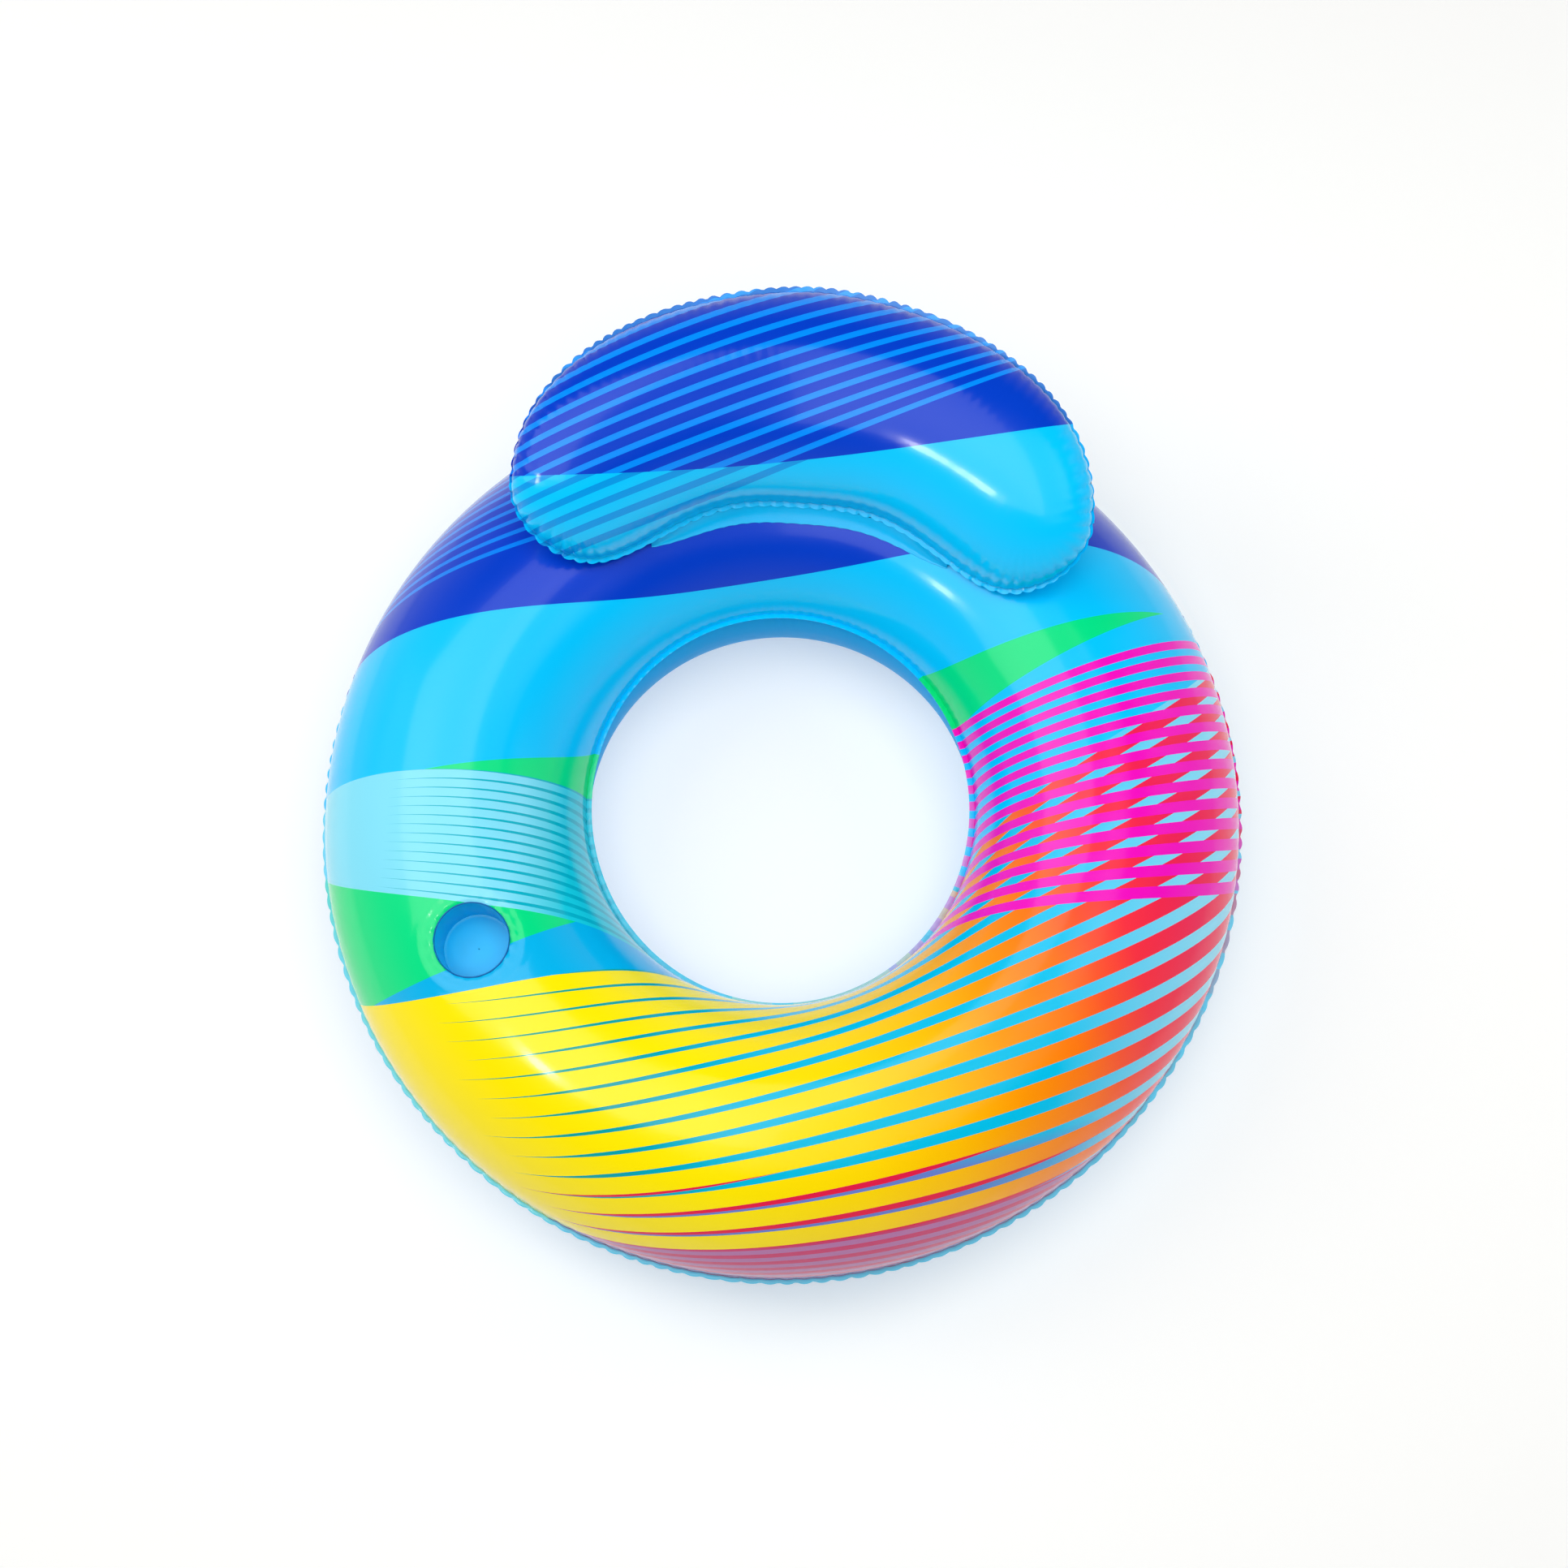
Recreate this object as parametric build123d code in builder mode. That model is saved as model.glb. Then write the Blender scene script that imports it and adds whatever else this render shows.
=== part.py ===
from build123d import *
from math import cos, hypot, pi, radians, sin, sqrt, tan
import os

# An inflatable lounge ring: a vinyl tube with a crescent backrest pillow welded on its top,
# a moulded cup well let into its crest, and one air valve for each of its two air chambers.
# Units are millimetres. The ring's axis is +Z, the floor is Z = 0 and the backrest is at +Y.

# ---------------------------------------------------------------- driving dimensions
TUBE_RADIUS = 416.0          # ring axis to the middle of the tube
TUBE_HALF_WIDTH = 169.0      # inflated tube section, across
TUBE_HALF_HEIGHT = 149.0     # inflated tube section, up
FLOOR_FLAT = 0.4             # how far the tube is pressed flat where it rests
WALL = 2.0                   # panel thickness as modelled
OUTER_FLANGE = 8.0           # welded seam standing out round the outside
INNER_FLANGE = 7.0           # welded seam standing into the hole

CUP_ANGLE = 211.5            # degrees round the ring, from +X
CUP_BORE_RADIUS = 45.0
CUP_DEPTH = 70.0
CUP_WALL = 1.5
CUP_RIM_WIDTH = 7.0
CUP_RIM_HEIGHT = 1.2

PILLOW_HALF_SPAN = 358.0     # backrest, centre to the tip of a lobe
PILLOW_BACK = 622.0          # Y of the back edge on the centre line
PILLOW_FRONT = 364.0         # Y of the concave front edge on the centre line
PILLOW_TIP = 336.0           # Y of the outermost points of the lobes
LOBE_FRONT = 264.0           # Y of the foremost points of the lobes
LOBE_MIDDLE = 272.0          # X of those points
BACK_ROUNDNESS = 1.8         # 2 would make the back edge half an ellipse
HOLLOW_ROUNDNESS = 1.45      # 1 would make the front hollow a plain cosine
PILLOW_TOP_BULGE = 78.0      # the top sheet's rise over the seam surface
PILLOW_BOTTOM_BULGE = 66.0   # the bottom sheet's fall, where the ring leaves room for it
PILLOW_SLOPE = radians(20.0)
PILLOW_BEND_RADIUS = 620.0   # the lobes curl up to this radius about the slope line
RING_CLEARANCE = 2.5
CONTACT_MARGIN = 6.0         # extra room between the two curved skins, away from the seams
HINGE_Y = 318.0              # the backrest turns about a line along X through its weld
BACKREST_TILT = 12.0         # degrees that the backrest lifts on its weld

WELD_NEAR = 340.0            # the flange of the pillow's front seam, from this radius
WELD_FAR = 352.0             # out to this one
WELD_ARC = 54.0

VALVE_FLANGE_RADIUS = 16.0
VALVE_FLANGE_TOP = 1.0
VALVE_FLANGE_ROOT = 3.0
VALVE_HOLE_RADIUS = 6.8
STEM_RADIUS = 6.5
STEM_BORE = 4.5
STEM_INNER_END = -8.0
STEM_OUTER_END = 17.0
PLUG_CLEARANCE = 0.1
PLUG_DEPTH = 9.0
PLUG_CAP_RADIUS = 8.0
PLUG_CAP_GAP = 0.2
PLUG_CAP_HEIGHT = 2.0
TETHER_WIDTH = 3.0
TETHER_THICKNESS = 1.0
TETHER_RADIUS = 3.25         # outer radius of the strap's half turn
FLAP_RADIUS = 6.2
FLAP_THICKNESS = 0.7
FLAP_GAP = 0.1

RING_VALVE_ANGLE = 300.0     # degrees round the ring, from +X
RING_VALVE_DROP = 45.0       # degrees below the outer seam, round the tube section
PILLOW_VALVE_DROP = 50.0     # degrees below the back seam, round the pillow section

# ---------------------------------------------------------------- worked-out values
TUBE_MIDDLE_Z = TUBE_HALF_HEIGHT - FLOOR_FLAT
CREST_Z = TUBE_MIDDLE_Z + TUBE_HALF_HEIGHT
WELD_Z = TUBE_MIDDLE_Z + TUBE_HALF_HEIGHT * sqrt(
    1 - ((TUBE_RADIUS - PILLOW_FRONT) / TUBE_HALF_WIDTH) ** 2
)
SEAM_Z = WELD_Z + RING_CLEARANCE + WALL
FAR = 1200.0                 # larger than the whole object, for cutting tools

SECTION_PLANE = Plane.XZ
WELD_START_PLANE = Plane.XZ.rotated((0, 0, 90 - WELD_ARC / 2))
cup_x = TUBE_RADIUS * cos(radians(CUP_ANGLE))
cup_y = TUBE_RADIUS * sin(radians(CUP_ANGLE))
cup_floor_z = CREST_Z - CUP_DEPTH
STATION_ANGLES = (0, 15, 30, 45, 60, 72, 81, 86.4)   # their sines set the pillow's stations
CURVE_STEPS = 12

os.makedirs("parts", exist_ok=True)


def finish(builder, name):
    """Label a finished piece, write its STEP file and report its volume."""
    builder.part.label = name
    export_step(builder.part, f"parts/{name}.step")
    print(name, round(builder.part.volume), "mm3")


def tube_section(grow=0.0):
    """Draw the tube's elliptical section, grown outwards, in the current sketch."""
    with Locations((TUBE_RADIUS, TUBE_MIDDLE_Z)):
        Ellipse(TUBE_HALF_WIDTH + grow, TUBE_HALF_HEIGHT + grow)


def solid_ring(grow):
    """A filled ring, used only as a cutting tool."""
    with BuildPart() as tool:
        with BuildSketch(SECTION_PLANE):
            tube_section(grow)
        revolve(axis=Axis.Z)
    return tool.part


def pillow_front_y(x):
    """Front outline of the backrest: a cosine hollow between two round lobes."""
    if abs(x) > LOBE_MIDDLE:
        across = (abs(x) - LOBE_MIDDLE) / (PILLOW_HALF_SPAN - LOBE_MIDDLE)
        return PILLOW_TIP - (PILLOW_TIP - LOBE_FRONT) * sqrt(1 - across**2)
    swing = cos(pi * (abs(x) / LOBE_MIDDLE) ** HOLLOW_ROUNDNESS)
    return LOBE_FRONT + (PILLOW_FRONT - LOBE_FRONT) * (0.5 + 0.5 * swing)


def pillow_back_y(x):
    """Back outline of the backrest: nearly half of an ellipse."""
    across = abs(x) / PILLOW_HALF_SPAN
    return PILLOW_TIP + (PILLOW_BACK - PILLOW_TIP) * sqrt(1 - across**BACK_ROUNDNESS)


def seam_z(x, y):
    """Height of the seam surface: a slope to the back that curls up at both lobes."""
    return SEAM_Z + (y - PILLOW_FRONT) * tan(PILLOW_SLOPE) + x**2 / (2 * PILLOW_BEND_RADIUS)


def pillow_floor_z(x, y):
    """The lowest that the pillow may reach: the ring's skin, and its path as it tilts."""
    across = min(abs(hypot(x, y) - TUBE_RADIUS) / TUBE_HALF_WIDTH, 1.0)
    skin = TUBE_MIDDLE_Z + TUBE_HALF_HEIGHT * sqrt(1 - across**2)
    return skin + RING_CLEARANCE + max(HINGE_Y - y, 0.0) * tan(radians(BACKREST_TILT))


def pillow_section(x, inset):
    """The chord's middle, half length and half thickness of the pillow at one X."""
    front = pillow_front_y(x)
    back = pillow_back_y(x)
    half_chord = (back - front) / 2 / cos(PILLOW_SLOPE) - inset
    fullness = sqrt(1 - (abs(x) / PILLOW_HALF_SPAN) ** 4)
    return (front + back) / 2, half_chord, fullness


def sheet_curve(x, side, inset):
    """Points (Y, Z) along one sheet in the section at X, from the front seam to the back."""
    middle, half_chord, fullness = pillow_section(x, inset)
    bulge = (PILLOW_TOP_BULGE if side > 0 else PILLOW_BOTTOM_BULGE) * fullness - inset
    points = []
    for step in range(CURVE_STEPS + 1):
        angle = pi * step / CURVE_STEPS
        along = -half_chord * cos(angle)
        off = side * bulge * sin(angle)
        y = middle + along * cos(PILLOW_SLOPE) - off * sin(PILLOW_SLOPE)
        z = seam_z(x, middle) + along * sin(PILLOW_SLOPE) + off * cos(PILLOW_SLOPE)
        if side < 0 and 0 < step < CURVE_STEPS:
            z = max(z, pillow_floor_z(x, y) + CONTACT_MARGIN * sin(angle) + inset)
        points.append((y, z))
    return points


def pillow_sheet(side):
    """One curved sheet of the pillow: side +1 is the top panel and -1 the bottom one."""
    half = [PILLOW_HALF_SPAN * sin(radians(angle)) for angle in STATION_ANGLES]
    with BuildPart() as sheet:
        for x in [-x for x in reversed(half[1:])] + half:
            outer = sheet_curve(x, side, 0)
            inner = sheet_curve(x, side, WALL)
            with BuildSketch(Plane(origin=(x, 0, 0), x_dir=(0, 1, 0), z_dir=(1, 0, 0))):
                with BuildLine():
                    Spline(*outer)
                    Line(outer[-1], inner[-1])
                    Spline(*inner)
                    Line(inner[0], outer[0])
                make_face()
        loft()
    return sheet.part


def valve_planes():
    """Planes on the skin of the ring and of the backrest, with Z pointing outwards."""
    drop = radians(RING_VALVE_DROP)
    around = radians(RING_VALVE_ANGLE)
    radius = TUBE_RADIUS + TUBE_HALF_WIDTH * cos(drop)
    height = TUBE_MIDDLE_Z - TUBE_HALF_HEIGHT * sin(drop)
    out, down = cos(drop) / TUBE_HALF_WIDTH, -sin(drop) / TUBE_HALF_HEIGHT
    ring_plane = Plane(
        origin=(radius * cos(around), radius * sin(around), height),
        x_dir=(-sin(around), cos(around), 0),
        z_dir=(out * cos(around), out * sin(around), down),
    )
    drop = radians(PILLOW_VALVE_DROP)
    middle, half_chord, _ = pillow_section(0, 0)
    along, below = half_chord * cos(drop), -PILLOW_BOTTOM_BULGE * sin(drop)
    slope_cos, slope_sin = cos(PILLOW_SLOPE), sin(PILLOW_SLOPE)
    lean, sink = cos(drop) / half_chord, -sin(drop) / PILLOW_BOTTOM_BULGE
    pillow_plane = Plane(
        origin=(0, middle + along * slope_cos - below * slope_sin,
                seam_z(0, middle) + along * slope_sin + below * slope_cos),
        x_dir=(1, 0, 0),
        z_dir=(0, lean * slope_cos - sink * slope_sin, lean * slope_sin + sink * slope_cos),
    )
    return ring_plane, pillow_plane


ring_valve_plane, pillow_valve_plane = valve_planes()


def valve_seat(plane):
    """The round plug of space that a valve's flange fills, used only as a cutting tool."""
    with BuildPart() as tool:
        with BuildSketch(plane.offset(-4 * VALVE_FLANGE_ROOT)):
            Circle(VALVE_FLANGE_RADIUS)
        extrude(amount=8 * VALVE_FLANGE_ROOT)
    return tool.part


# ---------------------------------------------------------------- the ring's two panels
with BuildPart() as ring_top_panel:
    with BuildSketch(SECTION_PLANE):
        tube_section()
        with Locations((TUBE_RADIUS + TUBE_HALF_WIDTH + OUTER_FLANGE / 2 - WALL / 2, TUBE_MIDDLE_Z + WALL / 2)):
            Rectangle(OUTER_FLANGE + WALL, WALL)
        with Locations((TUBE_RADIUS - TUBE_HALF_WIDTH - INNER_FLANGE / 2 + WALL / 2, TUBE_MIDDLE_Z + WALL / 2)):
            Rectangle(INNER_FLANGE + WALL, WALL)
        with Locations((TUBE_RADIUS, TUBE_MIDDLE_Z)):
            Ellipse(TUBE_HALF_WIDTH - WALL, TUBE_HALF_HEIGHT - WALL, mode=Mode.SUBTRACT)
        with Locations((TUBE_RADIUS, TUBE_MIDDLE_Z - FAR / 2)):
            Rectangle(FAR, FAR, mode=Mode.SUBTRACT)
    revolve(axis=Axis.Z)
    with BuildSketch(Plane.XY.offset(cup_floor_z)):
        with Locations((cup_x, cup_y)):
            Circle(CUP_BORE_RADIUS + CUP_WALL)
    extrude(amount=FAR, mode=Mode.SUBTRACT)
finish(ring_top_panel, "ring_top_panel")

with BuildPart() as ring_bottom_panel:
    with BuildSketch(SECTION_PLANE):
        tube_section()
        with Locations((TUBE_RADIUS + TUBE_HALF_WIDTH + OUTER_FLANGE / 2 - WALL / 2, TUBE_MIDDLE_Z - WALL / 2)):
            Rectangle(OUTER_FLANGE + WALL, WALL)
        with Locations((TUBE_RADIUS - TUBE_HALF_WIDTH - INNER_FLANGE / 2 + WALL / 2, TUBE_MIDDLE_Z - WALL / 2)):
            Rectangle(INNER_FLANGE + WALL, WALL)
        with Locations((TUBE_RADIUS, TUBE_MIDDLE_Z)):
            Ellipse(TUBE_HALF_WIDTH - WALL, TUBE_HALF_HEIGHT - WALL, mode=Mode.SUBTRACT)
        with Locations((TUBE_RADIUS, TUBE_MIDDLE_Z + FAR / 2)):
            Rectangle(FAR, FAR, mode=Mode.SUBTRACT)
        with Locations((TUBE_RADIUS, -FAR / 2)):
            Rectangle(FAR, FAR, mode=Mode.SUBTRACT)
    revolve(axis=Axis.Z)
    add(valve_seat(ring_valve_plane), mode=Mode.SUBTRACT)
finish(ring_bottom_panel, "ring_bottom_panel")

# ---------------------------------------------------------------- the cup well
with BuildPart() as cup_wall:
    with BuildSketch(Plane.XY.offset(cup_floor_z)):
        with Locations((cup_x, cup_y)):
            Circle(CUP_BORE_RADIUS + CUP_WALL)
            Circle(CUP_BORE_RADIUS, mode=Mode.SUBTRACT)
    extrude(amount=CUP_DEPTH + CUP_WALL)
    add(solid_ring(0), mode=Mode.INTERSECT)
finish(cup_wall, "cup_wall")

with BuildPart() as cup_floor:
    with BuildSketch(Plane.XY.offset(cup_floor_z - CUP_WALL)):
        with Locations((cup_x, cup_y)):
            Circle(CUP_BORE_RADIUS + CUP_WALL)
    extrude(amount=CUP_WALL)
finish(cup_floor, "cup_floor")

with BuildPart() as cup_rim:
    with BuildSketch(Plane.XY.offset(cup_floor_z)):
        with Locations((cup_x, cup_y)):
            Circle(CUP_BORE_RADIUS + CUP_RIM_WIDTH)
            Circle(CUP_BORE_RADIUS, mode=Mode.SUBTRACT)
    extrude(amount=FAR)
    add(solid_ring(CUP_RIM_HEIGHT), mode=Mode.INTERSECT)
    add(solid_ring(0), mode=Mode.SUBTRACT)
finish(cup_rim, "cup_rim")

# ---------------------------------------------------------------- the backrest
with BuildPart() as backrest_top_panel:
    add(pillow_sheet(1))
finish(backrest_top_panel, "backrest_top_panel")

with BuildPart() as backrest_bottom_panel:
    add(pillow_sheet(-1))
    add(valve_seat(pillow_valve_plane), mode=Mode.SUBTRACT)
finish(backrest_bottom_panel, "backrest_bottom_panel")

with BuildPart() as backrest_weld_strip:
    with BuildSketch(WELD_START_PLANE):
        tube_section(WALL)
        with Locations((TUBE_RADIUS, TUBE_MIDDLE_Z)):
            Ellipse(TUBE_HALF_WIDTH, TUBE_HALF_HEIGHT, mode=Mode.SUBTRACT)
        with Locations(((WELD_NEAR + WELD_FAR) / 2, TUBE_MIDDLE_Z + FAR / 2)):
            Rectangle(WELD_FAR - WELD_NEAR, FAR, mode=Mode.INTERSECT)
    revolve(axis=Axis.Z, revolution_arc=WELD_ARC)
finish(backrest_weld_strip, "backrest_weld_strip")

# ---------------------------------------------------------------- the two air valves


def make_valve(prefix, plane):
    """One safety valve: flange, sliding stem, strap, plug and the check flap inside."""
    with BuildPart() as flange:
        with BuildSketch(plane.offset(-VALVE_FLANGE_ROOT)):
            Circle(VALVE_FLANGE_RADIUS)
            Circle(VALVE_HOLE_RADIUS, mode=Mode.SUBTRACT)
        extrude(amount=VALVE_FLANGE_ROOT + VALVE_FLANGE_TOP)
    finish(flange, f"{prefix}_valve_flange")

    with BuildPart() as stem:
        with BuildSketch(plane.offset(STEM_INNER_END)):
            Circle(STEM_RADIUS)
            Circle(STEM_BORE, mode=Mode.SUBTRACT)
        extrude(amount=STEM_OUTER_END - STEM_INNER_END)
    finish(stem, f"{prefix}_valve_stem")

    cap_base = STEM_OUTER_END + PLUG_CAP_GAP
    with BuildPart() as plug:
        with BuildSketch(plane.offset(STEM_OUTER_END - PLUG_DEPTH)):
            Circle(STEM_BORE - PLUG_CLEARANCE)
        extrude(amount=PLUG_DEPTH + PLUG_CAP_GAP)
        with BuildSketch(plane.offset(cap_base)):
            Circle(PLUG_CAP_RADIUS)
        extrude(amount=PLUG_CAP_HEIGHT)
        fillet(plug.faces().sort_by(Axis(plane.origin, plane.z_dir))[-1].edges(), PLUG_CAP_HEIGHT / 3)
    finish(plug, f"{prefix}_valve_plug")

    turn_x = PLUG_CAP_RADIUS + TETHER_THICKNESS
    turn_z = cap_base + TETHER_THICKNESS - TETHER_RADIUS
    side = Plane(origin=plane.origin, x_dir=plane.x_dir, z_dir=-plane.y_dir)
    with BuildPart() as tether:
        with BuildSketch(side.offset(-TETHER_WIDTH / 2)):
            with Locations((turn_x, turn_z)):
                Circle(TETHER_RADIUS)
                Circle(TETHER_RADIUS - TETHER_THICKNESS, mode=Mode.SUBTRACT)
            with Locations((turn_x - TETHER_RADIUS, turn_z)):
                Rectangle(2 * TETHER_RADIUS, 2 * TETHER_RADIUS, mode=Mode.SUBTRACT)
            with Locations(((turn_x + STEM_RADIUS) / 2, turn_z - TETHER_RADIUS + TETHER_THICKNESS / 2)):
                Rectangle(turn_x - STEM_RADIUS + TETHER_THICKNESS, TETHER_THICKNESS)
        extrude(amount=TETHER_WIDTH)
        with BuildSketch(plane.offset(STEM_INNER_END)):
            Circle(STEM_RADIUS)
        extrude(amount=STEM_OUTER_END - STEM_INNER_END, mode=Mode.SUBTRACT)
    finish(tether, f"{prefix}_valve_tether")

    with BuildPart() as flap:
        with BuildSketch(plane.offset(STEM_INNER_END - FLAP_GAP - FLAP_THICKNESS)):
            Circle(FLAP_RADIUS)
        extrude(amount=FLAP_THICKNESS)
    finish(flap, f"{prefix}_valve_flap")


make_valve("ring", ring_valve_plane)
make_valve("backrest", pillow_valve_plane)
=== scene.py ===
import math

import bpy
import numpy as np
from mathutils import Matrix, Vector, kdtree


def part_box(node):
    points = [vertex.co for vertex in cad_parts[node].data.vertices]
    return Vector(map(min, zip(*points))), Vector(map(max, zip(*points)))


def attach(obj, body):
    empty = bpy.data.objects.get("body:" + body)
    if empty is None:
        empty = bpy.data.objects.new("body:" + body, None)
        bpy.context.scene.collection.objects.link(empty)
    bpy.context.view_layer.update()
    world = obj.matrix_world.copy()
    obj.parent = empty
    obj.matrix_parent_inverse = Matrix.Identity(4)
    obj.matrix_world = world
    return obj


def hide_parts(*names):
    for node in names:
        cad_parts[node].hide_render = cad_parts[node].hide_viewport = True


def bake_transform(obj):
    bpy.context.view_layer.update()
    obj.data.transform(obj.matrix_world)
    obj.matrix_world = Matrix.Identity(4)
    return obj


# The looks of an inflatable lounge ring: printed vinyl panels gathered along their welded
# seams, a crescent backrest pillow, a moulded cup well and two air valves.
# Everything is in metres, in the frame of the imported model: ring axis +Z, backrest at +Y.

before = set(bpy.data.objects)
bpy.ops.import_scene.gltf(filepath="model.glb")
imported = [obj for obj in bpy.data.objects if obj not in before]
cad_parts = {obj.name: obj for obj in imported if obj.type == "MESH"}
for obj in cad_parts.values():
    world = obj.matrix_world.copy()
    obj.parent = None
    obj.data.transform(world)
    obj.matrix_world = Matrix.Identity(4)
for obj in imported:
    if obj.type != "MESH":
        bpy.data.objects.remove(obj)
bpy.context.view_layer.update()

# ---------------------------------------------------------------- sizes of the tube
OUTER_FLANGE = 0.008
INNER_FLANGE = 0.007
SHARP_EDGE = math.radians(40)
PUNCH_DEPTH = 0.08                   # a punched hole goes through one skin only
TUBE_HALF_WIDTH = 0.169
TUBE_HALF_HEIGHT = 0.149
RING_LOW, RING_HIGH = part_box("ring_bottom_panel")
MIDDLE_Z = RING_HIGH.z
TUBE_RADIUS = RING_HIGH.x - OUTER_FLANGE - TUBE_HALF_WIDTH
CREST_Z = MIDDLE_Z + TUBE_HALF_HEIGHT
HOLE_RADIUS = TUBE_RADIUS - TUBE_HALF_WIDTH
OUTSIDE_RADIUS = TUBE_RADIUS + TUBE_HALF_WIDTH
SKIN_GAP = 0.0004                    # half the thickness of a welded flange

OUTER_SCALLOPS = 168
COLUMNS = OUTER_SCALLOPS * 6
INNER_SCALLOPS = 126
OUTER_CREASE = 0.0030                # depth of the gathers at the outer seam
INNER_CREASE = 0.0012
SCALLOP_DEPTH = 0.0044               # how far the flange's edge draws in at each stitch
VALVE_HOLE = 0.012
TURN_OF_PRINT = math.radians(8.8)    # the inner seam stands highest at this turn from +Y

# ---------------------------------------------------------------- sizes of the backrest
PILLOW_LOW, PILLOW_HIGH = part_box("backrest_top_panel")
HALF_SPAN = PILLOW_HIGH.x
BACK_Y = PILLOW_HIGH.y
FRONT_Y = 0.364
TIP_Y = 0.336
LOBE_Y = PILLOW_LOW.y
LOBE_X = 0.272
BACK_ROUNDNESS = 1.8
HOLLOW_ROUNDNESS = 1.45
TOP_BULGE = 0.078
BOTTOM_BULGE = 0.066
SLOPE = math.radians(20)
BEND_RADIUS = 0.62
PILLOW_FLANGE = 0.006
PILLOW_PITCH = 0.0165
TILT = math.radians(12)
HINGE_Y = 0.318
CLEARANCE = 0.0035
SEAM_LIFT = 0.0045
PILLOW_COLUMNS = 361
PILLOW_ROWS = 73
PILLOW_CREASE = 0.0040               # depth of the gathers beside the backrest's seam
CALM_REACH = 0.19                    # the gathers fade where the seam is welded down
WELD_REACH = 0.186                   # half the length of the weld flange
WELD_WIDTH = 0.0165

# ---------------------------------------------------------------- sizes of the cup well
CUP_LOW, CUP_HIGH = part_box("cup_wall")
CUP_X = (CUP_LOW.x + CUP_HIGH.x) / 2
CUP_Y = (CUP_LOW.y + CUP_HIGH.y) / 2
CUP_RADIUS = (CUP_HIGH.x - CUP_LOW.x) / 2
CUP_FLOOR_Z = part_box("cup_floor")[1].z
CUP_BORE = CUP_RADIUS - 0.0015
CUP_MOUTH_Z = CREST_Z - 0.0045
CUP_SEGMENTS = 144
DIMPLE_DEPTH = 0.0042                # the skin draws down this far round the cup


# ================================================================ meshes
def new_mesh(name, points, faces, fields=None):
    """A piece from points and faces, smooth apart from its real edges, with point fields."""
    mesh = bpy.data.meshes.new(name)
    mesh.from_pydata([tuple(p) for p in points], [], faces)
    mesh.validate()
    mesh.shade_smooth()
    mesh.set_sharp_from_angle(angle=SHARP_EDGE)
    for field_name, values in (fields or {}).items():
        values = np.asarray(values, np.float32)
        kind, part = ("FLOAT_VECTOR", "vector") if values.ndim == 2 else ("FLOAT", "value")
        mesh.attributes.new(field_name, kind, "POINT").data.foreach_set(part, values.ravel())
    piece = bpy.data.objects.new(name, mesh)
    bpy.context.scene.collection.objects.link(piece)
    return piece


def grid_faces(rows, columns, closed, flip):
    """Quads between the points of a rows by columns grid, closed round if asked."""
    faces = []
    for row in range(rows - 1):
        for column in range(columns if closed else columns - 1):
            after = (column + 1) % columns
            quad = (row * columns + column, row * columns + after,
                    (row + 1) * columns + after, (row + 1) * columns + column)
            faces.append(quad[::-1] if flip else quad)
    return faces


def punch(points, faces, centre, radius, axis):
    """Cut a round hole: points inside it move out to its edge, and empty faces go."""
    away = points - np.array(centre)
    along = (away @ np.array(axis))[:, None] * np.array(axis)
    flat = away - along
    distance = np.linalg.norm(flat, axis=1)
    inside = (distance < radius) & (np.linalg.norm(along, axis=1) < PUNCH_DEPTH)
    kept = [f for f in faces if not all(inside[v] for v in f)]
    scale = np.where(inside, radius / np.maximum(distance, 1e-6), 1.0)[:, None]
    return np.where(inside[:, None], np.array(centre) + along + flat * scale, points), kept


def drop_loose(points, faces, fields):
    """Keep only the points that faces use."""
    used = np.unique(np.array([v for f in faces for v in f]))
    renumber = np.full(len(points), -1)
    renumber[used] = np.arange(len(used))
    return (points[used], [tuple(int(renumber[v]) for v in f) for f in faces],
            {name: np.asarray(values)[used] for name, values in fields.items()})


def gathers(along, pitch, phase=0.0):
    """0 on each weld stitch and 1 between stitches, with uneven spacing and strength."""
    count = along / pitch
    wander = 0.16 * np.sin(count * 0.37 + phase) + 0.1 * np.sin(count * 0.83 + 2 * phase)
    strength = 0.8 + 0.2 * np.sin(count * 0.53 + 1.3 + phase)
    return 1 - strength * (1 - np.abs(np.sin(math.pi * (count + wander))) ** 0.8)


# ---------------------------------------------------------------- the tube's section
ANGLES = np.linspace(math.pi + 0.6, -0.1, 4001)
ARC = np.concatenate([[0.0], np.cumsum(np.hypot(
    np.diff(TUBE_HALF_WIDTH * np.cos(ANGLES)), np.diff(TUBE_HALF_HEIGHT * np.sin(ANGLES))))])
ARC -= np.interp(-math.pi, -ANGLES, ARC)
TOP_ARC = np.interp(0.0, -ANGLES, ARC)


def angle_at(arc):
    """Angle round the section, from the outside equator, at an arc from the inside one."""
    return np.interp(arc, ARC, ANGLES)


def seam_rise(around):
    """How far round the section the inner seam stands above the equator, as an angle."""
    return 0.118 + 0.213 * np.sin(around - TURN_OF_PRINT)


def tube_points(around, angle):
    """Points on the tube, and its outward normals, round the ring and round the section."""
    nx, nz = np.cos(angle) / TUBE_HALF_WIDTH, np.sin(angle) / TUBE_HALF_HEIGHT
    size = np.hypot(nx, nz)
    nx, nz = nx / size, nz / size
    radius = TUBE_RADIUS + TUBE_HALF_WIDTH * np.cos(angle)
    height = MIDDLE_Z + TUBE_HALF_HEIGHT * np.sin(angle)
    points = np.stack([radius * np.cos(around), radius * np.sin(around), height], -1)
    normals = np.stack([nx * np.cos(around), nx * np.sin(around), nz], -1)
    return points, normals


def flat_place(around, arc):
    """Where a point of the tube lay on the flat printed sheet."""
    radius = HOLE_RADIUS + arc
    return np.stack([radius * np.cos(around), radius * np.sin(around), radius * 0], -1)


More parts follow.
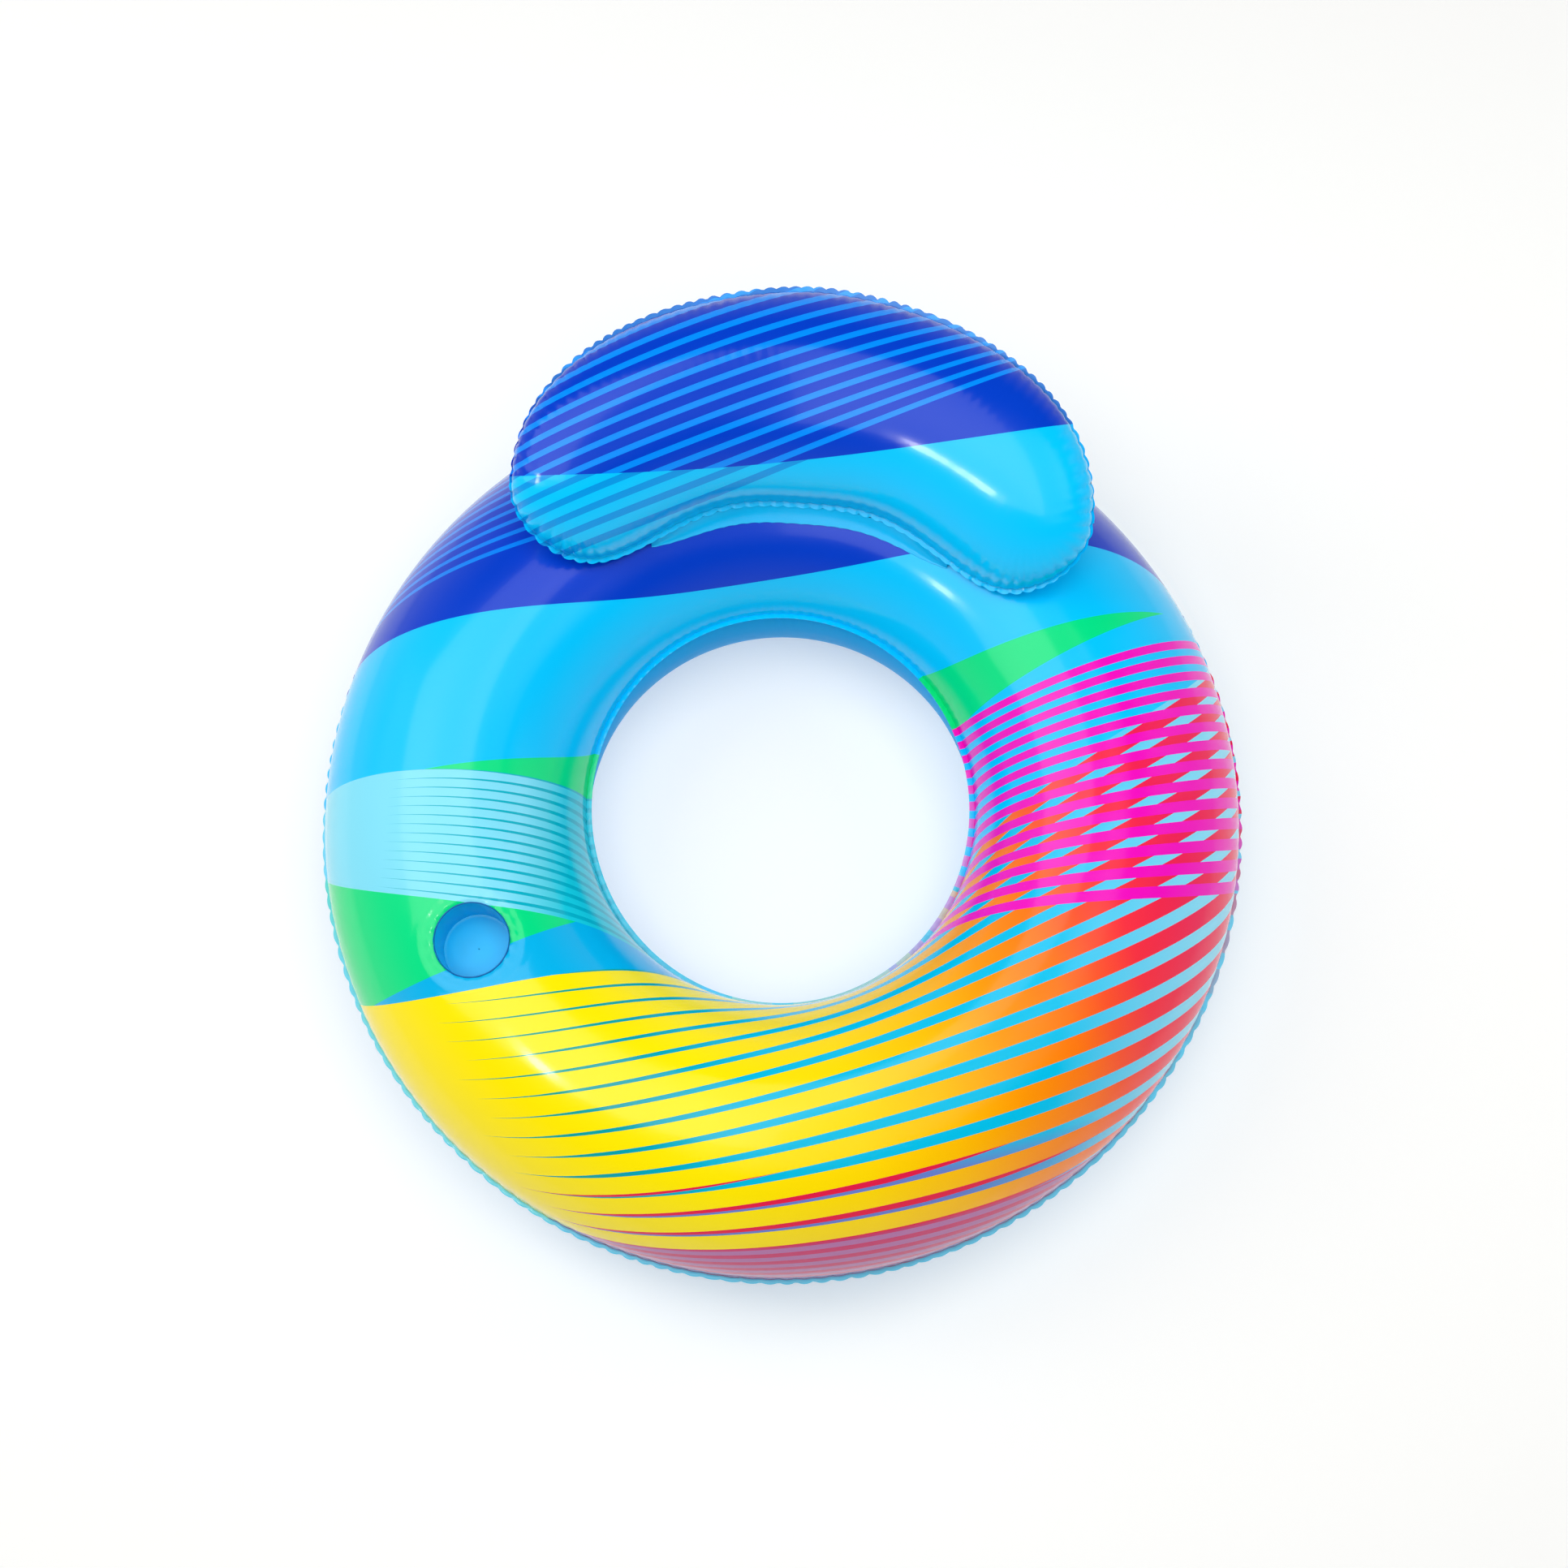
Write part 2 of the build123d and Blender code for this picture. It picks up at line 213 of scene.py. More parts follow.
def outer_gathers(around):
    """Gathers of the tube's outer seam."""
    return gathers(around * OUTSIDE_RADIUS, 2 * math.pi * OUTSIDE_RADIUS / OUTER_SCALLOPS)


def inner_gathers(around):
    """Gathers of the tube's inner seam, round the hole."""
    return gathers(around * HOLE_RADIUS, 2 * math.pi * HOLE_RADIUS / INNER_SCALLOPS, 1.7)


def tube_skin(around, outer_distance, inner_distance):
    """Outward shift of the skin: gathers that fade away from both welded seams."""
    outer = OUTER_CREASE * (1 - outer_gathers(around)) * np.exp(-outer_distance / 0.014)
    inner = INNER_CREASE * (1 - inner_gathers(around)) * np.exp(-inner_distance / 0.010)
    return -outer - inner


def stretch(stops):
    """Row places from stops of (place, step up to the next stop)."""
    places = []
    for (start, step), (end, _) in zip(stops, stops[1:]):
        count = max(1, round((end - start) / step))
        places += [start + (end - start) * i / count for i in range(count)]
    return np.array(places + [stops[-1][0]])


def cup_dimple(body):
    """Draw the skin down round the cup, with one soft ripple outside the weld."""
    x, y = body[..., 0] - CUP_X, body[..., 1] - CUP_Y
    away = np.hypot(x, y) - CUP_RADIUS
    uneven = 1 + 0.16 * np.sin(19 * np.arctan2(y, x))
    drop = DIMPLE_DEPTH * uneven * np.exp(-np.maximum(away, 0) / 0.008)
    ripple = 0.0012 * np.sin(np.minimum(away, 0.03) / 0.03 * 4 * math.pi) * np.exp(-away / 0.012)
    body[..., 2] -= np.where(away > -0.02, drop, 0)
    body[..., 2] += np.where(away > 0, ripple, 0)


def outer_flange(around, side):
    """Rows of a panel's share of the outer flange, scalloped by its stitches."""
    radial = np.stack([np.cos(around), np.sin(around), around * 0], -1)
    scallop = outer_gathers(around)
    rows = []
    for reach, gap in ((0.0006, 1), (0.0030, 1), (0.0056, 1), (0.0062, 0)):
        share = reach / OUTER_FLANGE
        row = radial * (OUTSIDE_RADIUS + reach - SCALLOP_DEPTH * (1 - scallop) * share)[:, None]
        row[:, 2] = MIDDLE_Z + side * SKIN_GAP * gap + 0.0016 * (scallop - 0.6) * share
        rows.append(row)
    return rows


def inner_flange(around, rise, side):
    """Rows of a panel's share of the flange that stands into the hole."""
    seam, normal = tube_points(around, math.pi - rise)
    across = np.stack([-normal[:, 2] * np.cos(around), -normal[:, 2] * np.sin(around),
                       np.hypot(normal[:, 0], normal[:, 1])], -1)
    rows = []
    for reach, gap in ((0.0068, 0), (0.0062, 1), (0.0030, 1), (0.0006, 1)):
        wave = 0.0005 * np.sin(around * INNER_SCALLOPS) * reach / INNER_FLANGE
        rows.append(seam + normal * reach + across * (side * SKIN_GAP * gap + wave)[:, None])
    return rows


def ring_panel(name, upper):
    """The printed top panel or the plain bottom one, with its share of both flanges."""
    side = 1 if upper else -1
    around = np.arange(COLUMNS) * 2 * math.pi / COLUMNS
    rise = seam_rise(around)
    if upper:
        stops = [(0, .003), (.03, .008), (.18, .0038), (.32, .008), (.455, .003), (TOP_ARC, 0)]
    else:
        stops = [(0, .003), (.04, .011), (.445, .003), (TOP_ARC, 0)]
    inner_arc = np.interp(side * rise - math.pi, -ANGLES, ARC)
    share = (stretch(stops) / TOP_ARC)[:, None]
    arc = inner_arc[None] * (1 - share) + TOP_ARC * share
    turn = np.broadcast_to(around, arc.shape)
    body, normal = tube_points(turn, side * angle_at(arc))
    body = body + normal * tube_skin(turn, TOP_ARC - arc, arc - inner_arc[None])[..., None]
    if upper:
        cup_dimple(body)
    inner, outer = inner_flange(around, rise, side), outer_flange(around, side)
    points = np.concatenate([inner, body, outer])
    flange = np.zeros(points.shape[:2])
    flange[:len(inner)] = 1
    flange[-len(outer):] = 1
    arcs = np.concatenate([[inner_arc] * len(inner), arc, np.full((len(outer), COLUMNS), TOP_ARC)])
    turns = np.broadcast_to(around, arcs.shape)
    faces = grid_faces(len(points), COLUMNS, True, upper)
    points = points.reshape(-1, 3)
    points[:, 2] = np.maximum(points[:, 2], RING_LOW.z)
    fields = {"print_place": flat_place(turns, arcs).reshape(-1, 3), "flange": flange.ravel()}
    if upper:
        cup_mouth = (CUP_X, CUP_Y, CREST_Z)
        points, faces = punch(points, faces, cup_mouth, CUP_RADIUS - 0.0012, (0, 0, 1))
    else:
        place, axis = valve_seat("ring_valve_flange")
        points, faces = punch(points, faces, place, VALVE_HOLE, axis)
    return new_mesh(name, *drop_loose(points, faces, fields))


def valve_seat(node):
    """Middle and outward axis of a valve flange, from its flat faces."""
    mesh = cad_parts[node].data
    low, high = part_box(node)
    centre = (low + high) / 2
    best = max(mesh.polygons, key=lambda face: face.area)
    axis = best.normal.copy()
    if (centre - Vector((0, 0, MIDDLE_Z))).dot(axis) < 0:
        axis = -axis
    return tuple(centre), tuple(axis.normalized())


# ---------------------------------------------------------------- the backrest's outline
def front_y(x):
    """Front outline: a cosine hollow between two round lobes."""
    x = np.abs(x)
    lobe = np.sqrt(np.clip(1 - ((x - LOBE_X) / (HALF_SPAN - LOBE_X)) ** 2, 0, 1))
    swing = np.cos(math.pi * (np.minimum(x, LOBE_X) / LOBE_X) ** HOLLOW_ROUNDNESS)
    hollow = LOBE_Y + (FRONT_Y - LOBE_Y) * (0.5 + 0.5 * swing)
    return np.where(x > LOBE_X, TIP_Y - (TIP_Y - LOBE_Y) * lobe, hollow)


def back_y(x):
    """Back outline: nearly half of an ellipse."""
    share = np.abs(x) / HALF_SPAN
    return TIP_Y + (BACK_Y - TIP_Y) * np.sqrt(np.clip(1 - share**BACK_ROUNDNESS, 0, 1))


def ring_top_z(x, y):
    """Height of the tube's upper skin."""
    across = np.minimum(np.abs(np.hypot(x, y) - TUBE_RADIUS) / TUBE_HALF_WIDTH, 1.0)
    return MIDDLE_Z + TUBE_HALF_HEIGHT * np.sqrt(1 - across**2)


def seam_height(x, y):
    """Height of the surface that the backrest's seam lies on."""
    start = float(ring_top_z(0.0, FRONT_Y)) + SEAM_LIFT
    return start + (y - FRONT_Y) * math.tan(SLOPE) + x**2 / (2 * BEND_RADIUS)


def outline_tree():
    """The seam's outline as a search tree, its running length and its points."""
    turn = np.linspace(-math.pi / 2, math.pi / 2, 1500)
    x = HALF_SPAN * np.sin(turn)
    back, front = np.stack([x, back_y(x)], -1), np.stack([x, front_y(x)], -1)
    line = np.concatenate([back, front[::-1][1:-1]])
    length = np.concatenate([[0], np.cumsum(np.linalg.norm(np.diff(line, axis=0), axis=1))])
    tree = kdtree.KDTree(len(line))
    for i, (px, py) in enumerate(line):
        tree.insert((px, py, 0), i)
    tree.balance()
    return tree, length, line


TREE, OUTLINE_LENGTH, OUTLINE = outline_tree()


def near_outline(x, y):
    """Distance to the seam's outline, the nearest point on it and its running length."""
    found = [TREE.find((a, b, 0)) for a, b in zip(x.ravel(), y.ravel())]
    places = [f[1] for f in found]
    distance = np.array([f[2] for f in found]).reshape(x.shape)
    return distance, OUTLINE[places].reshape(*x.shape, 2), OUTLINE_LENGTH[places].reshape(x.shape)


def pillow_grid():
    """Plan places of a sheet, their offsets from its middle line, and shares of its half width."""
    turn = np.linspace(-math.pi / 2, math.pi / 2, PILLOW_COLUMNS)[1:-1]
    x = HALF_SPAN * np.sin(turn)
    front, back = front_y(x), back_y(x)
    half = (back - front) / 2
    body_half = np.maximum(half - PILLOW_FLANGE, half * 0.3)
    rims = [half - (half - body_half) * share for share in (0.0, 0.45, 0.9)]
    body = [-body_half * math.cos(across) for across in np.linspace(0, math.pi, PILLOW_ROWS)]
    off = np.array([-rim for rim in rims] + body + rims[::-1])
    return (np.broadcast_to(x, off.shape), (front + back) / 2 + off, off,
            np.clip(np.abs(off) / body_half, 0, 1))


def sheet_faces(rows, columns, under):
    """Faces of a sheet's grid, fanned to one tip point at each end."""
    faces = grid_faces(rows, columns, False, under)
    left = rows * columns
    for row in range(rows - 1):
        near, far = row * columns, (row + 1) * columns
        for tip, a, b in ((left, near, far), (left + 1, far + columns - 1, near + columns - 1)):
            faces.append((tip, b, a) if under else (tip, a, b))
    return faces


def pillow_sheet(name, side):
    """One sheet of the backrest, side +1 on top and -1 below, gathered along its seam."""
    x, y, off, share = pillow_grid()
    distance, edge, length = near_outline(x, y)
    depth = np.maximum(distance - PILLOW_FLANGE, 0)
    gather = gathers(length, PILLOW_PITCH, 0.6)
    calm = np.where(off < 0, 1 - 0.8 * np.exp(-(x / CALM_REACH) ** 4), 1.0)

    # the bulge of the air, less the creases beside the seam
    fullness = np.sqrt(np.clip(1 - (np.abs(x) / (HALF_SPAN - PILLOW_FLANGE / 2)) ** 4, 0, 1))
    bulge = (TOP_BULGE if side > 0 else BOTTOM_BULGE) * fullness * np.sqrt(1 - share**2)
    crease = PILLOW_CREASE * (1 - gather) * (np.exp(-depth / 0.010) + 0.16 * np.exp(-depth / 0.04))
    bulge = np.maximum(bulge - crease * calm * np.minimum(depth / 0.004, 1), 0) + SKIN_GAP
    wave = 0.0014 * calm * (gather - 0.5) * np.exp(-distance / 0.006)
    z = seam_height(x, y) + side * bulge * math.cos(SLOPE) + wave

    # the edge draws in at each stitch
    inward = np.stack([x, y], -1) - edge
    middle = np.stack([x * 0.75, np.full_like(y, TIP_Y + 0.1)], -1) - edge
    direction = np.where(distance[..., None] > 0.002, inward, middle)
    direction /= np.maximum(np.linalg.norm(direction, axis=-1, keepdims=True), 1e-6)
    pull = 0.0042 * (1 - gather) * np.exp(-distance / 0.007)
    px = x + direction[..., 0] * pull
    py = y + direction[..., 1] * pull - side * bulge * math.sin(SLOPE)

    # the lower sheet rests on the tube, clear of it over the whole tilt
    if side < 0:
        path = np.maximum(HINGE_Y - py, 0) * math.tan(TILT)
        floor = ring_top_z(px, py) + CLEARANCE + path + 0.005 * np.minimum(depth / 0.05, 1)
        rest = np.maximum(z, np.minimum(floor, seam_height(x, y) - SKIN_GAP))
        z = np.where(depth > 0.001, rest, z)

    tip_z = seam_height(HALF_SPAN, TIP_Y)
    tips = [[-HALF_SPAN, TIP_Y, tip_z], [HALF_SPAN, TIP_Y, tip_z]]
    points = np.concatenate([np.stack([px, py, z], -1).reshape(-1, 3), tips])
    plan = np.stack([x, y, x * 0], -1).reshape(-1, 3)
    flange = (distance < PILLOW_FLANGE * 0.95).ravel()
    fields = {
        "print_place": np.concatenate([plan, [[-HALF_SPAN, TIP_Y, 0], [HALF_SPAN, TIP_Y, 0]]]),
        "flange": np.concatenate([flange, [1, 1]]),
    }
    faces = sheet_faces(*x.shape, side < 0)
    if side < 0:
        place, axis = valve_seat("backrest_valve_flange")
        points, faces = punch(points, faces, place, VALVE_HOLE, axis)
    return new_mesh(name, *drop_loose(points, faces, fields))


def weld_flange(name):
    """The flange of the backrest's front seam, laid on the tube's skin and welded to it."""
    x = np.linspace(-WELD_REACH, WELD_REACH, 161)
    fade = np.cos(math.pi / 2 * (np.abs(x) / WELD_REACH) ** 3)
    back = front_y(x) + 0.002
    front = back - 0.0025 - WELD_WIDTH * fade
    gather = gathers(x, PILLOW_PITCH, 2.1)
    rows = []
    for share, lift in ((0.0, 0.0), (0.0, 1.0), (0.12, 1.0), (0.3, 0.7), (0.65, 0.7), (1.0, 0.0)):
        y = front - 0.0008 * (1 - gather) + (back - front) * share
        skin = ring_top_z(x, y) + 0.0004 + 0.0009 * lift
        z = skin * (1 - share**3) + (seam_height(x, y) - 0.0006) * share**3
        rows.append(np.stack([x, y, z], -1))
    return new_mesh(name, np.array(rows).reshape(-1, 3), grid_faces(len(rows), len(x), False, False))


# ---------------------------------------------------------------- the cup well
def turned(name, profile, ripple=None):
    """A piece turned about the cup's axis from a profile of (radius, height)."""
    turn = np.arange(CUP_SEGMENTS) * 2 * math.pi / CUP_SEGMENTS
    rows = []
    for radius, z in profile:
        r = radius + (ripple(turn, z) if ripple else 0)
        rows.append(np.stack([CUP_X + r * np.cos(turn), CUP_Y + r * np.sin(turn), turn * 0 + z], -1))
    faces = grid_faces(len(rows), CUP_SEGMENTS, True, False)
    return new_mesh(name, np.array(rows).reshape(-1, 3), faces)


def cup_well_wall():
    """The well's sleeve, a little waisted and slightly uneven, as soft vinyl hangs."""
    depth = CUP_MOUTH_Z - CUP_FLOOR_Z
    profile = []
    for share in np.linspace(0, 1, 25):
        waist = 0.0025 * share + 0.001 * math.sin(math.pi * share)
        profile.append((CUP_BORE + 0.0012 - waist, CUP_MOUTH_Z - depth * share))

    def ripple(turn, z):
        share = (CUP_MOUTH_Z - z) / depth
        slack = 0.0005 * np.sin(9 * turn + 5 * share) * math.sin(math.pi * share)
        return slack + 0.0003 * np.sin(22 * turn) * math.exp(-share * 6)

    return turned("cup_well_wall", profile, ripple)


def cup_well_floor():
    """The well's floor disc, turned up at its weld and slightly domed."""
    foot = CUP_BORE - 0.0013
    profile = [(foot, 0.0006), (foot - 0.0015, 0.0001), (foot - 0.004, 0),
               (foot * 0.55, 0.0006), (foot * 0.2, 0.0009), (0.0008, 0.001)]
    return turned("cup_well_floor", [(radius, CUP_FLOOR_Z + rise) for radius, rise in profile])


def cup_welded_rim():
    """The thin welded edge round the mouth, which follows the dimpled skin."""
    turn = np.arange(CUP_SEGMENTS) * 2 * math.pi / CUP_SEGMENTS
    rows = []
    for out, lift in ((0.0001, -0.0020), (0.0001, 0.0002), (0.0005, 0.0006),
                      (0.0011, 0.0006), (0.0016, 0.0001), (0.0018, -0.0008)):
        x, y = CUP_X + (CUP_BORE + out) * np.cos(turn), CUP_Y + (CUP_BORE + out) * np.sin(turn)
        rows.append(np.stack([x, y, ring_top_z(x, y) - DIMPLE_DEPTH + 0.0012 + lift], -1))
    faces = grid_faces(len(rows), CUP_SEGMENTS, True, True)
    return new_mesh("cup_welded_rim", np.array(rows).reshape(-1, 3), faces)


# ================================================================ materials
class Value:
    """A shader value, so that a print can be written as a formula."""

    def __init__(self, tree, socket):
        self.tree = tree
        self.socket = socket

    def math(self, operation, *others, clamp=False):
        node = self.tree.nodes.new("ShaderNodeMath")
        node.operation = operation
        node.use_clamp = clamp
        for i, value in enumerate((self, *others)):
            if isinstance(value, Value):
                self.tree.links.new(value.socket, node.inputs[i])
            else:
                node.inputs[i].default_value = value
        return Value(self.tree, node.outputs[0])

    def __add__(self, other):
        return self.math("ADD", other)

    __radd__ = __add__

    def __sub__(self, other):
        return self.math("SUBTRACT", other)

    def __rsub__(self, other):
        return self.math("MULTIPLY", -1.0) + other

    def __mul__(self, other):
        return self.math("MULTIPLY", other)

    __rmul__ = __mul__

    def __truediv__(self, other):
        return self.math("DIVIDE", other)

    def over(self, edge):
        """1 where this is above an edge."""
        return self.math("GREATER_THAN", edge)

    def under(self, edge):
        """1 where this is below an edge."""
        return self.math("LESS_THAN", edge)

    def both(self, other):
        """1 where two masks are both 1."""
        return self.math("MULTIPLY", other)

    def flip(self):
        """1 minus this."""
        return self.math("MULTIPLY_ADD", -1.0, 1.0)

    def least(self, other):
        return self.math("MINIMUM", other)

    def most(self, other):
        return self.math("MAXIMUM", other)

    def ramp(self, low, high):
        """0 below low, 1 above high, straight between."""
        return ((self - low) / (high - low)).math("ADD", 0.0, clamp=True)

    def wave(self):
        """Distance from the nearest whole number, 0 to 0.5."""
        return self.math("PINGPONG", 0.5)


def curve(x, *terms):
    """A polynomial in x, constant term first."""
    total = x * terms[-1] + terms[-2]
    for term in terms[-3::-1]:
        total = total * x + term
    return total


def linear(colour):
    """An sRGB colour of 0 to 255 as a shader's linear one."""
    out = []
    for c in colour:
        c /= 255
        out.append(c / 12.92 if c <= 0.04045 else ((c + 0.055) / 1.055) ** 2.4)
    return (*out, 1.0)


class Print:
    """Colours laid over each other on a sheet, each inside its own mask."""

    def __init__(self, tree, ground):
        self.tree = tree
        self.colour = ground

    def lay(self, mask, colour):
        node = self.tree.nodes.new("ShaderNodeMix")
        node.data_type = "RGBA"
        self.tree.links.new(mask.socket, node.inputs[0])
        for value, socket in ((self.colour, node.inputs[6]), (colour, node.inputs[7])):
            if isinstance(value, bpy.types.NodeSocket):
                self.tree.links.new(value, socket)
            else:
                socket.default_value = linear(value)
        self.colour = node.outputs[2]
        return self


def colour_ramp(value, stops):
    """A colour that runs through stops of (value, colour)."""
    low, high = stops[0][0], stops[-1][0]
    node = value.tree.nodes.new("ShaderNodeValToRGB")
    value.tree.links.new(value.ramp(low, high).socket, node.inputs[0])
    elements = node.color_ramp.elements
    elements[0].color, elements[-1].color = linear(stops[0][1]), linear(stops[-1][1])
    for place, colour in stops[1:-1]:
        elements.new((place - low) / (high - low)).color = linear(colour)
    return node.outputs[0]


def noise(tree, place, scale, detail):
    """A noise texture in the object's own space, about its real size."""
    node = tree.nodes.new("ShaderNodeTexNoise")
    node.inputs["Scale"].default_value = scale
    node.inputs["Detail"].default_value = detail
    tree.links.new(place.outputs["Object"], node.inputs["Vector"])
    return node.outputs["Fac"]


def uneven_tone(tree, patches, colour):
    """A colour that darkens slightly in patches."""
    tone = tree.nodes.new("ShaderNodeMix")
    tone.data_type = "RGBA"
    tone.inputs[6].default_value = linear(colour)
    tone.inputs[7].default_value = linear(tuple(c * 0.93 for c in colour))
    tree.links.new(patches, tone.inputs[0])
    return tone.outputs[2]


def vinyl(name, colour, gloss=0.15, coat=0.2, see=0.0, shine=0.4):
    """Glossy calendered vinyl: a faint orange-peel and small uneven patches of gloss.

    The colour is an sRGB one or a function that draws a print in the node tree."""
    material = bpy.data.materials.new(name)
    material.use_nodes = True
    tree = material.node_tree
    shader = tree.nodes["Principled BSDF"]
    shader.inputs["Coat Weight"].default_value = coat
    shader.inputs["Coat Roughness"].default_value = 0.05
    shader.inputs["Specular IOR Level"].default_value = shine
    shader.inputs["Subsurface Weight"].default_value = see
    shader.inputs["Subsurface Radius"].default_value = (0.01, 0.01, 0.01)
    place = tree.nodes.new("ShaderNodeTexCoord")
    patches = noise(tree, place, 14.0, 2.0)
    rough = tree.nodes.new("ShaderNodeMapRange")
    rough.inputs["To Min"].default_value = gloss - 0.03
    rough.inputs["To Max"].default_value = gloss + 0.05
    tree.links.new(patches, rough.inputs["Value"])
    tree.links.new(rough.outputs[0], shader.inputs["Roughness"])
    relief = tree.nodes.new("ShaderNodeBump")
    relief.inputs["Strength"].default_value = 0.04
    relief.inputs["Distance"].default_value = 0.0005
    tree.links.new(noise(tree, place, 420.0, 1.0), relief.inputs["Height"])
    tree.links.new(relief.outputs[0], shader.inputs["Normal"])
    base = colour(tree) if callable(colour) else uneven_tone(tree, patches, colour)
    tree.links.new(base, shader.inputs["Base Color"])
    return material


def field(tree, name):
    """A point field of the mesh as one value."""
    node = tree.nodes.new("ShaderNodeAttribute")
    node.attribute_name = name
    return Value(tree, node.outputs["Fac"])


def print_place(tree):
    """X and Y on the flat printed sheet, in tenths of a metre."""
    node = tree.nodes.new("ShaderNodeAttribute")
    node.attribute_name = "print_place"
    split = tree.nodes.new("ShaderNodeSeparateXYZ")
    tree.links.new(node.outputs["Vector"], split.inputs[0])
    return Value(tree, split.outputs[0]) * 10.0, Value(tree, split.outputs[1]) * 10.0


CYAN = (0, 196, 252)
DEEP_BLUE = (0, 60, 196)
STRIPE_BLUE = (0, 130, 240)
GREEN = (0, 222, 132)
YELLOW = (255, 232, 0)
MAGENTA = (242, 10, 190)
BAND_CYAN = (128, 222, 244)
TEAL = (0, 176, 196)
BAND_TEAL = (20, 205, 222)
WEDGE_BLUE = (0, 178, 232)
VIOLET = (104, 128, 205)
RED = (228, 30, 72)
MAUVE = (184, 116, 172)
PINK = (206, 52, 110)
TRAIL_BLUE = (0, 150, 226)
PILLOW_STRIPE = (0, 138, 246)
FLANGE_BLUE = (112, 216, 248)
UNDERSIDE_BLUE = (0, 172, 236)
WARM_TONES = ((-1.0, YELLOW), (1.2, (255, 216, 0)), (2.6, (255, 190, 0)), (3.7, (255, 152, 0)),
              (4.7, (255, 120, 16)), (5.3, (252, 84, 44)), (5.9, (248, 50, 66)), (7.0, (240, 28, 84)))
GAP_TONES = ((-4.0, (30, 165, 110)), (-1.8, (0, 160, 170)), (0.0, (0, 185, 222)),
             (4.2, (0, 192, 235)), (6.2, (140, 222, 248)))


def blue_sweep(art, x, y):
    """Deep blue with light stripes, upper left and behind the backrest."""
    deep = y.over(curve(x, 3.60, 0.215, -0.019, -0.0012))
    stripe = (y - (x + 4.1) * 0.47 - 3.46) / 0.205
    light = stripe.wave().under(x.ramp(3.2, 0.4) * 0.17).both(stripe.over(-0.4))
    art.lay(deep, DEEP_BLUE).lay(deep.both(light), STRIPE_BLUE)


def green_wedge(art, x, y):
    """The green wedge on the right."""
    roof = curve(x - 3.0, 2.52, 0.33, -0.017)
    keel = curve(x - 3.0, 1.72, 0.66, -0.018)
    art.lay(y.under(roof).both(y.over(keel)).both(x.over(1.2)), GREEN)


def light_band(art, x, y):
    """The light band with thin teal lines on the left, green above and below it."""
    left = x.under(-0.8)
    top = curve(x + 4.0, -0.045, 0.045, -0.026)
    bottom = curve(x + 4.0, -2.11, -0.10, 0.012)
    crest = curve(x + 4.0, 0.22, 0.30, 0.0)
    art.lay(left.both(y.over(top)).both(y.under(crest)), GREEN)
    band = left.both(y.under(top)).both(y.over(bottom))
    art.lay(band, colour_ramp(x, ((-5.2, BAND_CYAN), (-3.9, BAND_CYAN), (-3.1, BAND_TEAL))))
    line = ((top - y) / (top - bottom) * 13.6).wave()
    art.lay(band.both(line.under(x.ramp(-5.6, -3.0) * 0.2)), TEAL)
    divide = curve(x + 4.0, -2.78, 0.50, 0.03)
    below = left.both(y.under(bottom))
    art.lay(below, WEDGE_BLUE).lay(below.both(y.over(divide)), GREEN)


def warm_bands(art, x, y):
    """Yellow to orange to red, with gaps that widen to the right."""
    pitch = curve(x, 0.32, 0.021, 0.0013)
    number = (y - curve(x, -5.29, 0.245, 0.032)) / pitch
    head = curve(x + 2.0, -2.81, 0.27, 0.02)
    left_part = y.under(head).both(x.under(-1.5))
    warm = left_part.most(number.under(10.0).both(x.over(-1.5001))).both(number.over(-3.9))
    art.lay(warm, colour_ramp(x + (y + 4.0) * 0.35, WARM_TONES))

    # each gap starts a little further right than the one below it
    start = number * -0.14 - 3.15 + (number * 2.3).math("SINE") * 0.15
    width = curve(x, 0.27, 0.045, -0.0035).most(0.10).least(0.42) * 0.5
    width = width * (x - start).ramp(-0.2, 1.1)
    gap = warm.both(number.wave().under(width))
    art.lay(gap, colour_ramp(x, GAP_TONES))

    # the lowest gaps are violet, edged with red until they end
    end = (number * -3.3 - 2.3).least(5.0)
    violet = number.under(-1.5).both((end - x).ramp(-0.4, 2.0))
    art.lay(gap.both(violet), VIOLET)
    offset = (number + 100.5).math("FRACT") - 0.5
    reddened = ((end - x) / 2.5).math("ADD", 0.0, clamp=True) * 1.24
    red = offset.over(width * reddened.flip()).both(number.under(-0.5)).both(x.under(end))
    art.lay(gap.both(red), RED)

    # fine pink stripes along the front
    foot = number.under(-3.9)
    fine = ((number * -1.0 - 3.9) * 2.15).wave()
    art.lay(foot, MAUVE).lay(foot.both(fine.under(0.24)), PINK)


def magenta_stripes(art, x, y):
    """Magenta stripes that cross the warm bands on the right, closer together inwards."""
    reach = curve(x - 3.0, 1.58, 0.41, 0.011)
    step = x * 0.0175 + 0.1725
    count = ((step * step + (reach - y) * 0.006).math("SQRT") - step) / 0.003
    stripes = count.wave().under(0.27).both(count.over(-0.5)).both(count.under(13.5))
    art.lay(stripes.both(x.over(1.5)), MAGENTA)


def ring_print(tree):
    """The swirled print of the ring."""
    x, y = print_place(tree)
    art = Print(tree, CYAN)
    for part in (blue_sweep, green_wedge, light_band, warm_bands, magenta_stripes):
        part(art, x, y)
    art.lay(field(tree, "flange") * y.ramp(1.0, -3.0), FLANGE_BLUE)
    return art.colour


